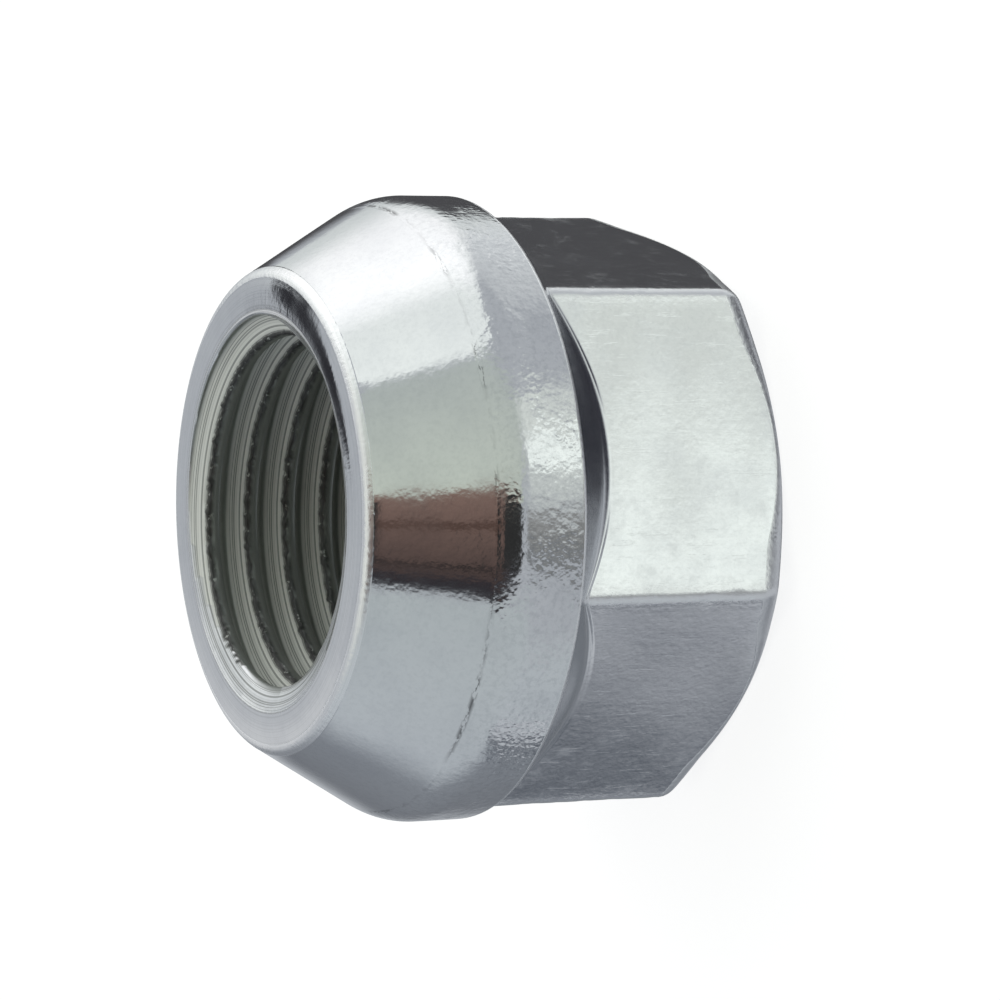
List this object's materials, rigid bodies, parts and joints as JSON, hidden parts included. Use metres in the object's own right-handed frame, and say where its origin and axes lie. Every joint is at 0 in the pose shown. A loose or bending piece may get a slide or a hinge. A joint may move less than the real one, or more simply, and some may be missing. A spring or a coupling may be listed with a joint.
{
  "type": "lug nut",
  "caption": "Open-ended wheel lug nut with a hex drive, a round collar and a conical seat; it clamps a wheel onto a threaded stud.",
  "frame": {"origin": "centre of the flat hex end face, on the thread's axis", "axes": "+Z along the thread's axis, from the hex end to the conical nose; +X through a corner of the hexagon"},
  "size_m": [0.0224, 0.0224, 0.0157],
  "materials": {
    "zinc_plated_steel": "bright bluish zinc plating on forged steel, satin, with fine drawn lines on the hex flats"
  },
  "bodies": {
    "root": {"lug_nut": "zinc_plated_steel"}
  },
  "joints": []
}
